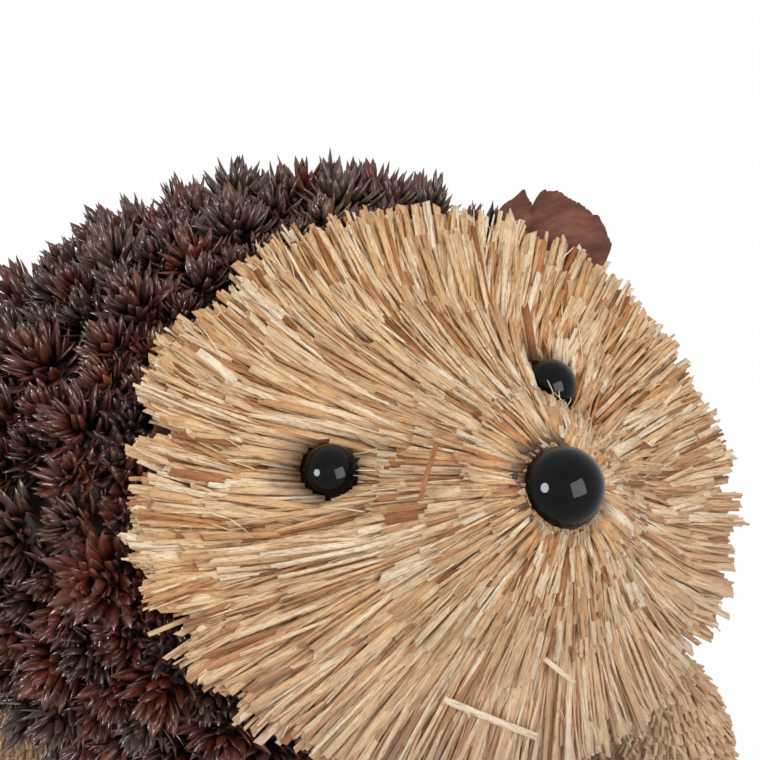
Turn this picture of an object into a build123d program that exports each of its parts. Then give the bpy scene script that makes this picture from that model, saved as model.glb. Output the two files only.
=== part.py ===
from build123d import *

import math
import os

# A standing hedgehog figurine made of natural materials, in millimetres.
# It faces -Y with its left side at +X, and the origin is on the floor under the middle of its box.

# Body: a flattened round foam core, the seat of the cones, with one radius round its side
BODY_R = 86.0
BODY_HALF_H = 64.0
BODY_SIDE_R = 48.0
BODY_Y = 2.0
BELLY_Z = 14.0

# Head: all straw courses and beads stand on one axis that starts at the nose and is pitched up
NOSE_Y = -96.0
NOSE_Z = 119.0
HEAD_PITCH = 40.0
CORE_FRONT = 1.8
CORE_BACK_WALL = 4.0

# Bead nose and eyes, each with a shank in the head core
NOSE_D = 20.0
EYE_D = 14.0
EYE_SIDE = 34.9
EYE_RISE = 26.8
EYE_BACK = 35.0
SHANK_D = 4.0
NOSE_SHANK = 24.0
EYE_SHANK = 16.0

# Straw: flat slivers set in rings on the head core, each ring over the next one like shingles
STRAW_W = 3.0
STRAW_T = 1.0
STRAW_PITCH = 4.3
BAND_T = 1.6
BAND_L = 3.0
COURSE_ROOTS = (11.6, 18.0, 26.0, 34.0, 43.0, 51.0)
COURSE_ANGLES = (46.0, 47.0, 48.0, 54.0, 70.0, 80.0)
COURSE_TIPS = (24.0, 33.0, 41.0, 50.0, 66.0)
COURSE_GAP = 0.25
LENGTH_SPREAD = 0.05
RUFF_HALF_W = 90.0
RUFF_HALF_H = 73.0
RUFF_RISE = 14.0

# Ears: torn pieces of bark in slots of the head core's rim, close behind the ruff
EAR_T = 2.0
EAR_W = 34.0
EAR_ROOT_W = 16.0
EAR_ROOT_DEPTH = 9.0
EAR_ANGLE = 42.0
EAR_REACH_LEFT = 108.0
EAR_REACH_RIGHT = 88.0
EAR_SHOULDER = 19.0
EAR_CORNER = 9.0
EAR_NOTCH = 6.0
EAR_NOTCH_HALF_W = 4.0
EAR_NOTCH_AT = 3.5

# Legs: wooden dowels, and feet of straw on a tapered block
LEG_D = 9.0
FOOT_R = 18.0
FOOT_TOP_R = 11.0
FOOT_ROOM = 2.0
FOOT_SKEW_ROOM = 14.0
FOOT_STRAWS = 14
FOOT_STRAW_T = 2.0
DOWEL_START = 12.0

# Leg ends: how far inside the body core's side, and its front or rear, and how high the inner ends are
FRONT_FOOT_INSET = (30.0, 10.0)
FRONT_HIP_INSET = (42.0, 32.0)
FRONT_HIP_Z = 52.0
REAR_FOOT_INSET = (36.0, 36.0)
REAR_HIP_INSET = (44.0, 44.0)
REAR_HIP_Z = 58.0

# Cones: rosettes of pointed scales, a wide tier under a narrow one, both flaring to their tips
CONE_SCALES = 5
CONE_FOOT_R = 9.0
CONE_R = 13.0
CONE_NECK_R = 7.0
CONE_TOP_R = 9.6
CONE_TIER_H = 6.0
CONE_NECK_H = 9.0
CONE_TOP_TIER_H = 12.5
CONE_H = 17.0
CONE_NOTCH = 0.6
CONE_TURN = 40.0
CONE_LOWEST = 4.0
CONE_ROOM = 0.6
CONE_TRIES = 4000
CONE_ROWS = 5

# Room left for glue between a piece and its seat
SEAT = 0.2

GOLDEN = (math.sqrt(5) - 1) / 2
FOOT_STEPS = 12
FLAT_ENOUGH = 1e-6
pitch = math.radians(HEAD_PITCH)
AHEAD = Vector(0, -math.cos(pitch), math.sin(pitch))
CROWN = Vector(0, math.sin(pitch), math.cos(pitch))
LEFT = Vector(1, 0, 0)
NOSE = Vector(0, NOSE_Y, NOSE_Z)
BODY_Z = BELLY_Z + BODY_HALF_H
BODY = Vector(0, BODY_Y, BODY_Z)
head_plane = Plane(origin=NOSE, x_dir=LEFT, z_dir=CROWN)
head_axis = Axis(NOSE, AHEAD * -1)


def head_point(side, rise, back):
    """A point given by its place to the left of, above and behind the nose, along the head's axes."""
    return NOSE + LEFT * side + CROWN * rise - AHEAD * back


def depth(point):
    """How far a point lies behind the nose along the head's axis."""
    return -(point - NOSE).dot(AHEAD)


def ruff_radius(angle):
    """The distance from the head's axis to the ruff's oval edge, in a direction round the axis."""
    c, s = math.cos(angle), math.sin(angle)
    square = (c / RUFF_HALF_W) ** 2 + (s / RUFF_HALF_H) ** 2
    linear = s * RUFF_RISE / RUFF_HALF_H**2
    rest = (RUFF_RISE / RUFF_HALF_H) ** 2 - 1
    return (linear + math.sqrt(linear**2 - square * rest)) / square


def course_depths():
    """The depth of each course's root, so that every course passes clear over the next one."""
    depths = [0.0]
    for k in range(len(COURSE_ROOTS) - 1):
        lean, next_lean = (math.radians(a) for a in COURSE_ANGLES[k : k + 2])
        root, next_root, tip = COURSE_ROOTS[k], COURSE_ROOTS[k + 1], COURSE_TIPS[k]
        at_root = (next_root - root) / math.tan(lean) + BAND_T / 2 / math.sin(next_lean)
        at_tip = (tip - root) / math.tan(lean) - (tip - next_root) / math.tan(next_lean)
        at_tip += STRAW_T / 2 / math.sin(next_lean)
        depths.append(depths[k] + max(at_root, at_tip) + STRAW_T / 2 / math.sin(lean) + COURSE_GAP)
    return depths


DEPTHS = course_depths()
RUFF_LEAN = math.radians(COURSE_ANGLES[-1])
RUFF_REACH = max(RUFF_HALF_W, RUFF_RISE + RUFF_HALF_H)
RUFF_FALL = (RUFF_REACH - COURSE_ROOTS[-1]) / math.tan(RUFF_LEAN) + STRAW_T / math.sin(RUFF_LEAN)
RUFF_BACK = DEPTHS[-1] + RUFF_FALL
EAR_BACK = RUFF_BACK + SEAT
HEAD_BACK = EAR_BACK + EAR_T + CORE_BACK_WALL
EYES = {
    "left": head_point(EYE_SIDE, EYE_RISE, EYE_BACK),
    "right": head_point(-EYE_SIDE, EYE_RISE, EYE_BACK),
}
os.makedirs("parts", exist_ok=True)


def finish(builder, label):
    builder.part.label = label
    export_step(builder.part, f"parts/{label}.step")


def flat_ring(plane, radius, flats):
    """The corners of a regular polygon whose flats lie at a radius, the first one along the plane's X."""
    corners = []
    for i in range(flats):
        angle = math.pi * (2 * i + 1) / flats
        reach = radius / math.cos(math.pi / flats)
        corners.append(plane.from_local_coords((reach * math.cos(angle), reach * math.sin(angle), 0)))
    return corners


def flat_faces(a, b, c, d):
    """One face through four corners, or two triangles where the corners don't lie in one plane."""
    bend = (b - a).cross(c - a).dot(d - a)
    if abs(bend) < FLAT_ENOUGH:
        return [Face(Wire.make_polygon((a, b, c, d)))]
    return [Face(Wire.make_polygon((a, b, c))), Face(Wire.make_polygon((a, c, d)))]


def faceted(rings, ends=()):
    """A closed solid with flat faces between rings of corners, and the faces that close its ends."""
    faces = list(ends)
    for low, high in zip(rings, rings[1:]):
        for i in range(len(low)):
            faces.extend(flat_faces(low[i - 1], low[i], high[i], high[i - 1]))
    return Solid(Shell(faces))


def cap(ring):
    return Face(Wire.make_polygon(ring))


def land(k):
    """Both ends of the seat under a course's band, as (radius, depth)."""
    lean = math.radians(COURSE_ANGLES[k])
    along = (math.sin(lean), math.cos(lean))
    inward = (BAND_T / 2 + SEAT) * -math.cos(lean), (BAND_T / 2 + SEAT) * math.sin(lean)
    start = (COURSE_ROOTS[k] + inward[0], DEPTHS[k] + inward[1])
    return start, (start[0] + BAND_L * along[0], start[1] + BAND_L * along[1])


# Head core: stepped seats for the straw bands, a cup for the nose, and pockets for the eyes
first, second = land(0)
front_r = first[0] + (CORE_FRONT - first[1]) * math.tan(math.radians(COURSE_ANGLES[0]))
profile = [(0, CORE_FRONT), (front_r, CORE_FRONT), second]
for course in range(1, len(COURSE_ROOTS)):
    profile.extend(land(course))
RIM_R = profile[-1][0]
profile.extend([(RIM_R, HEAD_BACK), (0, HEAD_BACK)])

with BuildPart() as head_core:
    with BuildSketch(head_plane):
        with BuildLine():
            Polyline(*profile, close=True)
        make_face()
    revolve(axis=head_axis)
    with Locations(NOSE):
        Sphere(NOSE_D / 2 + SEAT, mode=Mode.SUBTRACT)
    with Locations(*EYES.values()):
        Sphere(EYE_D / 2 + SEAT, mode=Mode.SUBTRACT)
    for bead, reach in ((NOSE, NOSE_SHANK), (EYES["left"], EYE_SHANK), (EYES["right"], EYE_SHANK)):
        with BuildSketch(Plane(origin=bead, x_dir=LEFT, z_dir=AHEAD * -1)):
            Circle(SHANK_D / 2 + SEAT)
        extrude(amount=reach + SEAT, mode=Mode.SUBTRACT)
    for turn in (EAR_ANGLE, 180 - EAR_ANGLE):
        with BuildSketch(Plane(head_point(0, 0, EAR_BACK - SEAT), x_dir=LEFT, z_dir=AHEAD * -1)):
            with Locations(Rotation(0, 0, -turn) * Pos(RIM_R - EAR_ROOT_DEPTH - SEAT, 0)):
                Rectangle(RIM_R, EAR_ROOT_W + 2 * SEAT, align=(Align.MIN, Align.CENTER))
        extrude(amount=EAR_T + 2 * SEAT, mode=Mode.SUBTRACT)
finish(head_core, "head_core")

# Beads with their shanks
for label, centre, size, reach in (
    ("nose_bead", NOSE, NOSE_D, NOSE_SHANK),
    ("eye_left", EYES["left"], EYE_D, EYE_SHANK),
    ("eye_right", EYES["right"], EYE_D, EYE_SHANK),
):
    with BuildPart() as bead:
        with Locations(centre):
            Sphere(size / 2)
        with BuildSketch(Plane(origin=centre, x_dir=LEFT, z_dir=AHEAD * -1)):
            Circle(SHANK_D / 2)
        extrude(amount=reach)
    finish(bead, label)


def gap_to_eyes(start, end):
    """The least distance from a straw's middle line to the middle of an eye."""
    line = end - start
    gaps = []
    for eye in EYES.values():
        share = min(max((eye - start).dot(line) / line.dot(line), 0), 1)
        gaps.append((start + line * share - eye).length)
    return min(gaps)


def straw_places(k):
    """How many slivers fit round a course at its root, which is also its band's number of flats."""
    return int(2 * math.pi * COURSE_ROOTS[k] / STRAW_PITCH)


def straws_of(k):
    """The slivers of one course, as a list of (plane at the root, length)."""
    lean = math.radians(COURSE_ANGLES[k])
    root = COURSE_ROOTS[k]
    straws = []
    for i in range(straw_places(k)):
        angle = 2 * math.pi * i / straw_places(k)
        out = LEFT * math.cos(angle) + CROWN * math.sin(angle)
        along = out * math.sin(lean) - AHEAD * math.cos(lean)
        face = out * math.cos(lean) + AHEAD * math.sin(lean)
        edge = ruff_radius(angle)
        tip = edge if k == len(COURSE_TIPS) else min(COURSE_TIPS[k], edge * COURSE_TIPS[k] / RUFF_HALF_H)
        tip = max(tip, root + 2 * BAND_L)
        uneven = 1 - LENGTH_SPREAD * (i * GOLDEN % 1)
        start = NOSE + out * root - AHEAD * DEPTHS[k]
        length = (tip - root) / math.sin(lean) * uneven
        if gap_to_eyes(start, start + along * length) > EYE_D / 2 + SEAT + STRAW_W / 2:
            straws.append((Plane(origin=start, x_dir=along, z_dir=face), length))
    return straws


def band_corners(k):
    """The corners of a band's section as (radius, depth), round from its outer root to its inner root."""
    lean = math.radians(COURSE_ANGLES[k])
    along = (math.sin(lean) * BAND_L, math.cos(lean) * BAND_L)
    across = (math.cos(lean) * BAND_T / 2, -math.sin(lean) * BAND_T / 2)
    root = (COURSE_ROOTS[k], DEPTHS[k])
    outer = (root[0] + across[0], root[1] + across[1])
    inner = (root[0] - across[0], root[1] - across[1])
    outer_end = (outer[0] + along[0], outer[1] + along[1])
    inner_end = (inner[0] + along[0], inner[1] + along[1])
    return outer, outer_end, inner_end, inner


# Straw courses: a thin glued band, flat under each sliver, with slivers that stand out towards the ruff
SLIVER_ALIGN = (Align.MIN, Align.CENTER, Align.CENTER)
straw_count = 0
for course in range(len(COURSE_ROOTS)):
    rings = []
    for radius, back in band_corners(course):
        ring_plane = Plane(head_point(0, 0, back), x_dir=LEFT, z_dir=AHEAD)
        rings.append(flat_ring(ring_plane, radius, straw_places(course)))
    slivers = []
    for plane, length in straws_of(course):
        sliver = Box(length - BAND_L / 2, STRAW_W, STRAW_T, align=SLIVER_ALIGN)
        slivers.append(plane.location * Pos(BAND_L / 2, 0, 0) * sliver)
    straw_count += len(slivers)
    with BuildPart() as straw_course:
        add(faceted(rings + rings[:1]))
        with Locations(*EYES.values()):
            Sphere(EYE_D / 2 + SEAT, mode=Mode.SUBTRACT)
        add(slivers)
    finish(straw_course, f"straw_course_{course + 1}")

# Ears: a flap that widens from its root to a torn edge with one notch
for label, turn, reach, hand in (
    ("ear_left", EAR_ANGLE, EAR_REACH_LEFT, -1),
    ("ear_right", 180 - EAR_ANGLE, EAR_REACH_RIGHT, 1),
):
    out = LEFT * math.cos(math.radians(turn)) + CROWN * math.sin(math.radians(turn))
    half, half_root, corner = hand * EAR_W / 2, hand * EAR_ROOT_W / 2, hand * EAR_CORNER
    notch, notch_half = hand * EAR_NOTCH_AT, hand * EAR_NOTCH_HALF_W
    with BuildPart() as ear:
        with BuildSketch(Plane(origin=head_point(0, 0, EAR_BACK), x_dir=out, z_dir=AHEAD * -1)):
            with BuildLine():
                Polyline(
                    (RIM_R - EAR_ROOT_DEPTH, -half_root),
                    (RIM_R, -half_root),
                    (reach - EAR_SHOULDER, -half),
                    (reach, corner - half),
                    (reach, notch - notch_half),
                    (reach - EAR_NOTCH, notch),
                    (reach, notch + notch_half),
                    (reach - EAR_SHOULDER, half),
                    (RIM_R, half_root),
                    (RIM_R - EAR_ROOT_DEPTH, half_root),
                    close=True,
                )
            make_face()
        extrude(amount=EAR_T)
    finish(ear, label)

# The body core's caps: their radius for a smooth join with the side, and how far it reaches past the middle
SIDE_RING_R = BODY_R - BODY_SIDE_R
CAP_R = (SIDE_RING_R**2 + BODY_HALF_H**2 - BODY_SIDE_R**2) / (2 * (BODY_HALF_H - BODY_SIDE_R))
CAP_DROP = CAP_R - BODY_HALF_H
CAP_HALF_ANGLE = math.degrees(math.atan2(SIDE_RING_R, CAP_DROP))


def body_point(normal):
    """The place on the body core that faces a direction."""
    up = Vector(0, 0, math.copysign(1, normal.Z))
    if normal.dot(up) > math.cos(math.radians(CAP_HALF_ANGLE)):
        return BODY + normal * CAP_R - up * CAP_DROP
    out = Vector(normal.X, normal.Y, 0).normalized()
    return BODY + out * SIDE_RING_R + normal * BODY_SIDE_R


def leg_end(sign, fore, inset, height):
    """A point under or in the body core, at its inset from the core's side and its front or rear."""
    return Vector(sign * (BODY_R - inset[0]), BODY_Y + fore * (BODY_R - inset[1]), height)


def core_underside(radius):
    """The height of the body core's underside at a distance from its upright axis."""
    if radius < CAP_R * math.sin(math.radians(CAP_HALF_ANGLE)):
        return BODY_Z + CAP_DROP - math.sqrt(CAP_R**2 - radius**2)
    return BODY_Z - math.sqrt(BODY_SIDE_R**2 - (radius - SIDE_RING_R) ** 2)


def foot_height(sole, up):
    """How far a foot reaches up its leg, with room left between its inner edge and the body core."""
    height = DOWEL_START
    for _ in range(FOOT_STEPS):
        top = sole + up * height - BODY
        inner = math.hypot(top.X, top.Y) - FOOT_TOP_R
        height = (core_underside(inner) - FOOT_ROOM) / up.Z
    return height


def foot_radius(along, height):
    """The radius of a foot's block at a distance up its leg."""
    return FOOT_R + (FOOT_TOP_R - FOOT_R) * along / height


# Body core: a flattened ball, cut flat where the head is glued on, and bored for the legs
head_seat = Plane(origin=head_point(0, 0, HEAD_BACK + SEAT), x_dir=LEFT, z_dir=AHEAD)
LEGS = {}
for side, sign in (("left", 1), ("right", -1)):
    for end, fore, foot, hip, hip_z in (
        ("front", -1, FRONT_FOOT_INSET, FRONT_HIP_INSET, FRONT_HIP_Z),
        ("rear", 1, REAR_FOOT_INSET, REAR_HIP_INSET, REAR_HIP_Z),
    ):
        sole = leg_end(sign, fore, foot, 0)
        inner_end = leg_end(sign, fore, hip, hip_z)
        up = (inner_end - sole).normalized()
        LEGS[f"{end}_{side}"] = (sole, up, (inner_end - sole).length, foot_height(sole, up))

with BuildPart() as body_core:
    with BuildSketch(Plane(origin=BODY, x_dir=LEFT, z_dir=(0, -1, 0))):
        with BuildLine():
            crown = CenterArc((0, -CAP_DROP), CAP_R, 90 - CAP_HALF_ANGLE, CAP_HALF_ANGLE)
            CenterArc((BODY_R - BODY_SIDE_R, 0), BODY_SIDE_R, CAP_HALF_ANGLE - 90, 180 - 2 * CAP_HALF_ANGLE)
            belly = CenterArc((0, CAP_DROP), CAP_R, -90, CAP_HALF_ANGLE)
            Line(belly @ 0, crown @ 1)
        make_face()
    revolve(axis=Axis(BODY, (0, 0, 1)))
    split(bisect_by=head_seat, keep=Keep.BOTTOM)
    for sole, up, length, _ in LEGS.values():
        with BuildSketch(Plane(origin=sole, x_dir=LEFT, z_dir=up)):
            Circle(LEG_D / 2 + SEAT)
        extrude(amount=length + SEAT, mode=Mode.SUBTRACT)
finish(body_core, "body_core")


# Leg dowels, and feet with two rings of slivers cut off level with the floor
for name, (sole, up, length, foot_h) in LEGS.items():
    leg_plane = Plane(origin=sole, x_dir=LEFT, z_dir=up)
    with BuildPart() as leg:
        with BuildSketch(leg_plane.offset(DOWEL_START)):
            Circle(LEG_D / 2)
        extrude(amount=length - DOWEL_START)
    finish(leg, f"leg_{name}")

    slivers = []
    middle = foot_h / 2
    for high, low in ((foot_h - STRAW_T, middle + STRAW_T), (middle, -FOOT_SKEW_ROOM)):
        for i in range(FOOT_STRAWS):
            angle = 2 * math.pi * i / FOOT_STRAWS
            out = leg_plane.x_dir * math.cos(angle) + leg_plane.y_dir * math.sin(angle)
            start = sole + up * high + out * foot_radius(high, foot_h)
            run = sole + up * low + out * foot_radius(low, foot_h) - start
            lie = Plane(origin=start, x_dir=run, z_dir=run.cross(out).cross(run))
            sliver = Box(run.length, STRAW_W, FOOT_STRAW_T, align=SLIVER_ALIGN)
            slivers.append(lie.location * sliver)
    straw_count += len(slivers)
    rings = []
    for along in (-FOOT_SKEW_ROOM, foot_h):
        rings.append(flat_ring(leg_plane.offset(along), foot_radius(along, foot_h), FOOT_STRAWS))
    with BuildPart() as foot:
        add(faceted(rings, (cap(rings[0]), cap(rings[-1]))))
        with BuildSketch(leg_plane.offset(DOWEL_START - SEAT)):
            Circle(LEG_D / 2 + SEAT)
        extrude(amount=foot_h, mode=Mode.SUBTRACT)
        add(slivers)
        split(bisect_by=Plane.XY, keep=Keep.TOP)
    finish(foot, f"foot_{name}")


def star(radius, height, turn):
    """The corners of a cone's star section: points on a circle, from the turn on, and notches between."""
    corners = []
    for i in range(2 * CONE_SCALES):
        angle = math.pi * i / CONE_SCALES
        reach = radius if i % 2 == turn else radius * CONE_NOTCH
        corners.append(Vector(reach * math.cos(angle), reach * math.sin(angle), height))
    return corners


# One cone: a wide ring of pointed scales, a narrower one turned by half a scale, and the tip
rings = [
    star(CONE_FOOT_R, 0, 0),
    star(CONE_R, CONE_TIER_H, 0),
    star(CONE_NECK_R, CONE_NECK_H, 0),
    star(CONE_TOP_R, CONE_TOP_TIER_H, 1),
]
top = rings[-1]
tip = Vector(0, 0, CONE_H)
tip_faces = [cap((top[i - 1], top[i], tip)) for i in range(len(top))]
cone = faceted(rings, (cap(rings[0]), *tip_faces))


def clear_of_rest(base, normal):
    """Whether a cone on this place of the body core stays behind the head and off the legs and floor."""
    for height, radius in ((0, CONE_R), (CONE_TIER_H, CONE_R), (CONE_H, CONE_TOP_R)):
        middle = base + normal * height
        level = math.sqrt(1 - normal.Z**2)
        if middle.Z - radius * level < CONE_LOWEST:
            return False
        sideways = math.sqrt(1 - normal.dot(AHEAD) ** 2)
        limit = HEAD_BACK if height == 0 else EAR_BACK + EAR_T
        if depth(middle) - radius * sideways < limit + CONE_ROOM:
            return False
        for sole, up, length, foot_h in LEGS.values():
            along = (middle - sole).dot(up)
            away = (middle - sole - up * along).length
            beside = foot_radius(min(max(along, 0), foot_h), foot_h) + FOOT_STRAW_T
            if along < length + radius and away < radius + beside + CONE_ROOM:
                return False
    return True


def cone_places():
    """Places on the body core, taken from the ruff backwards, whose cones nearly touch at their widest."""
    spots = []
    for i in range(CONE_TRIES):
        rise = 1 - (2 * i + 1) / CONE_TRIES
        flat = math.sqrt(1 - rise**2)
        turn = i * math.pi * (3 - math.sqrt(5))
        normal = Vector(flat * math.cos(turn), flat * math.sin(turn), rise)
        base = body_point(normal)
        spots.append((depth(base), base, normal))
    spots.sort(key=lambda spot: spot[0])
    places = []
    taken = []
    for back, base, normal in spots:
        widest = base + normal * CONE_TIER_H
        apart = all((widest - other).length > 2 * CONE_R + CONE_ROOM for other in taken)
        if apart and clear_of_rest(base, normal):
            places.append((back, base, normal))
            taken.append(widest)
    return places


# Cones in rows, counted from the ruff to the tail
places = cone_places()
first_back, last_back = places[0][0], places[-1][0]
rows = {}
for i, (back, base, normal) in enumerate(places):
    place = Plane(origin=base + normal * SEAT, z_dir=normal).location
    share = (back - first_back) / (last_back - first_back)
    row = min(1 + int(CONE_ROWS * share), CONE_ROWS)
    rows.setdefault(row, []).append(place * Rotation(0, 0, CONE_TURN * i))
for row, row_places in rows.items():
    with BuildPart() as cone_row:
        with Locations(*row_places):
            add(cone)
    finish(cone_row, f"cone_row_{row}")

print("straws", straw_count, "cones", {row: len(row_places) for row, row_places in rows.items()})
print("foot heights", [round(leg[-1], 1) for leg in LEGS.values()])
print("course depths", [round(d, 2) for d in DEPTHS], "ears", round(EAR_BACK, 2))
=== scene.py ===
import math
import random

import bpy
import numpy as np
from mathutils import Matrix, Vector, noise


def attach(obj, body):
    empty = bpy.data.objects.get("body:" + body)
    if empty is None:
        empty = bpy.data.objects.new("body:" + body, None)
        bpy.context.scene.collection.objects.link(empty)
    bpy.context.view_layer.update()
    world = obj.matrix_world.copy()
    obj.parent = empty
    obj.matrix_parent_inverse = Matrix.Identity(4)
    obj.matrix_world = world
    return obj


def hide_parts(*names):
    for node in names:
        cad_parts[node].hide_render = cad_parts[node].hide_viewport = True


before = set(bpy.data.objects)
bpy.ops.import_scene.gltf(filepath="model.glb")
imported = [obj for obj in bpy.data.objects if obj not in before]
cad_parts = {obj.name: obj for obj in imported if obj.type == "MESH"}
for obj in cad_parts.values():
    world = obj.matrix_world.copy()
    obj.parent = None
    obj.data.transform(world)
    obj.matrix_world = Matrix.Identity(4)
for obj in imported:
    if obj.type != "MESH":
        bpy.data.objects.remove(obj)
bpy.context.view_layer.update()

# A standing hedgehog of straw, seed cones, bark and beads. Metres, facing -Y, with its left side at +X.
chance = random.Random(11)
MM = 0.001

# Head: everything on the face is placed along an axis that starts at the nose and is pitched up
NOSE = Vector((0, -96, 119)) * MM
HEAD_PITCH = math.radians(40)
AHEAD = Vector((0, -math.cos(HEAD_PITCH), math.sin(HEAD_PITCH)))
CROWN = Vector((0, math.sin(HEAD_PITCH), math.cos(HEAD_PITCH)))
LEFT = Vector((1, 0, 0))
HEAD_BACK = 59.2 * MM

# Beads, with the places of the eyes to the left of, above and behind the nose, in millimetres
NOSE_R = 10 * MM
EYE_R = 7 * MM
EYE_PLACES = {"eye_left": (34.9, 26.8, 35), "eye_right": (-34.9, 26.8, 35)}
NOSE_SHANK = 24 * MM
EYE_SHANK = 16 * MM
SHANK_R = 2 * MM

# Face: millimetres from the axis, and how deep behind the nose the face lies there
FACE_RADII = (11.6, 24, 33, 41, 50, 66, 92)
FACE_DEPTHS = (0, 12, 22, 31, 39, 46.5, 52)
SLOPE_REACH = 4 * MM

# Ruff: an oval edge with its middle above the axis, trimmed, moved to the left and drawn down
RUFF_HALF_W = 90 * MM
RUFF_HALF_H = 73 * MM
RUFF_RISE = 14 * MM
RUFF_TRIM = 3 * MM
RUFF_SHIFT = 2.5 * MM
RUFF_DROP = 3.5 * MM

# Swells of the edge and gaps in it: degrees round the axis, half width in degrees, size in millimetres
RUFF_SWELLS = ((129, 11, 4.2), (95, 12, 2), (166, 9, 2), (-4, 6, 3.4))
RUFF_GAPS = (
    (64, 1.3, 10), (117, 1.6, 5), (141, 3.2, 12), (148, 1.5, 11), (165, 2, 6), (177, 1.6, 6), (190, 2, 5))

# Courses of the solids: how far from the axis the tips in each one may lie, in millimetres
COURSE_TIPS = (24, 33, 41, 50, 66, math.inf)

# Straw on the face: rings of tufts whose cut tips step outwards from the nose to the ruff's edge
FIRST_TIP = 19 * MM
TIP_STEP = 4.8 * MM
EVEN_REACH = 45 * MM
STRAW_PITCH = 0.74 * MM
ROOT_DEPTH = 2.6 * MM
COLLAR_R = 9.6 * MM
COLLAR_END = 14 * MM
COLLAR_DEPTH = 1.2 * MM
RING_LIFT = 1.2 * MM
RUFF_LIFTS = (2.2 * MM, 0.6 * MM, -1 * MM)
RUFF_DENSITY = 0.9
MUZZLE_END = 30 * MM
MUZZLE_LENGTHS = (12 * MM, 26 * MM)
CHEEK_LENGTHS = (16 * MM, 38 * MM)
RUFF_LENGTHS = (18 * MM, 38 * MM)

# Tufts and the slivers in them: their widths and steps, and how lean, rise, reach and tone spread
TUFT_WIDTHS = (4 * MM, 12 * MM)
TUFT_STEPS = (0.88, 1.04)
RUFF_STEPS = (0.94, 1.12)
TUFT_YAW = 0.1
TUFT_RISE = 0.8 * MM
TUFT_REACH = 2.1 * MM
TUFT_TONE = 0.11
SLIVER_YAW = 0.06
SLIVER_RISE = 0.5 * MM
SLIVER_REACH = 0.9 * MM
SLIVER_TONE = 0.23

# Tufts at the ruff's edge: a few stand proud of it, and the rest fall short
PROUD_SHARE = 0.15
PROUD_REACH = 1.5 * MM
SHORT_REACH = 1.9 * MM

# Cuts of straw: their widths in millimetres, and how many are narrow, broad or orange
NARROW_CUT = (0.55, 1.0)
PLAIN_CUT = (1.0, 2.1)
BROAD_CUT = (2.1, 3.2)
NARROW_SHARE = 0.4
BROAD_SHARE = 0.07
ORANGE_SHARE = 0.11
ORANGE_STEP = 0.32
BROAD_LEAST_TONE = 0.4
LEAST_TONE = 0.03
SLIVER_THICK = (0.3 * MM, 0.6 * MM)
SLIVER_TAPER = (0.78, 1.0)
SHORTEST_SLIVER = 3 * MM
FACE_TONE = 0.6
LONG_TONE = 0.62
FOOT_TONE = 0.44

# Straw round the eyes: cut at their edge, with its tips held low and passing slivers pressed in
EYE_ROOM = 0.3 * MM
EYE_DELL = 14 * MM
EYE_DELL_DEPTH = 1.6 * MM
EYE_DELL_SLOPE = 0.2
EYE_PRESS = 2.2 * MM
EYE_PRESS_REACH = 6 * MM

# Loose bits across the straw: degrees round the axis and millimetres from it at both ends, width and tone
LOOSE_BITS = {
    "cream_stick": ((-136, 45), (-104, 49), 1.7, 1.0),
    "brown_stick": ((133, 26), (160, 28), 1.1, 0.12),
    "curled_strip": ((126, 81), (128, 70), 2.3, 1.0),
    "chin_sliver": ((-109, 33), (-93, 39), 1.2, 0.95),
}
LOOSE_LIFT = 4.8 * MM
LOOSE_THICK = 0.5 * MM
LONG_SLIVERS = 210
LONG_REACHES = (26 * MM, 52 * MM)
LONG_MOST_AT = math.radians(-125)
FLYAWAYS = 200
FLYAWAY_LENGTHS = (5 * MM, 13 * MM)
FLYAWAY_WIDTHS = (0.14 * MM, 0.3 * MM)
FLYAWAY_LIFTS = (1.2 * MM, 3 * MM)

# Ears: flaps of bark behind the ruff, curled back towards their ends, with uneven sides
EAR_BACK = 53.24 * MM
EAR_ROOT = 46 * MM
EAR_TURN = math.radians(42)
EAR_HALF_W = 17 * MM
EAR_REACHES = {"ear_left": 108.6 * MM, "ear_right": 82 * MM}
EAR_THICK = 1.6 * MM
EAR_CURL = 10 * MM
EAR_CURL_START = 0.55
EAR_CUP = 1.2 * MM
EAR_RIPPLE = 0.8 * MM
EAR_ROUND = 0.25 * MM

# Torn end of an ear: millimetres across it and short of its reach. Its crack: middle, half width and depth
EAR_TEAR = ((-17, 14), (-11, 4.6), (-8.2, 7), (-7, 7), (-6.2, 2.2), (-3, 0), (11, 0), (17, 4.2))
EAR_CRACK = (-7.6, 0.55, 8)
# Sides of an ear: millimetres from the axis, and half the width there
EAR_SIDES = ((46, 8), (87, 14.2), (104, 17))

# Body: a side with one radius round it, between flatter caps above and below
BODY = Vector((0, 2, 78)) * MM
BODY_SIDE_R = 48 * MM
SIDE_RING_R = 38 * MM
CAP_R = 101.125 * MM
CAP_DROP = 37.125 * MM

# Scale of a cone: places along it, and its breadth and depth there
SCALE_PLACES = (0, 0.35, 0.72, 1)
SCALE_BREADTHS = (0.7, 1.0, 0.66, 0.03)
SCALE_DEPTHS = (0.4, 0.36, 0.26, 0.03)

# Seed cones: large ones on those of the solids and small ones between, closer beside the ruff
CONE_ROWS = 5
CONE_SCALES = 70
CONE_REACH = 19 * MM
GOLDEN_TURN = math.pi * (3 - math.sqrt(5))
LARGE_SIZES = (1.0, 1.16)
LARGE_HEIGHTS = (1.0, 1.2)
LARGE_TONE = 0.42
SMALL_SIZES = (0.7, 0.95)
SMALL_HEIGHTS = (0.8, 1.12)
SMALL_TONE = 0.38
CONE_TONE_SPREAD = 0.2
GREY_SHARE = 0.36
SMALL_TRIES = 5000
LARGE_ROOM = 12 * MM
SMALL_ROOM = 9.5 * MM
RUFF_LARGE_ROOM = 8 * MM
RUFF_SMALL_ROOM = 7 * MM
RUFF_BELT = 8 * MM
RUFF_LEAN = 0.3
FLOOR_ROOM = 3 * MM
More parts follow.
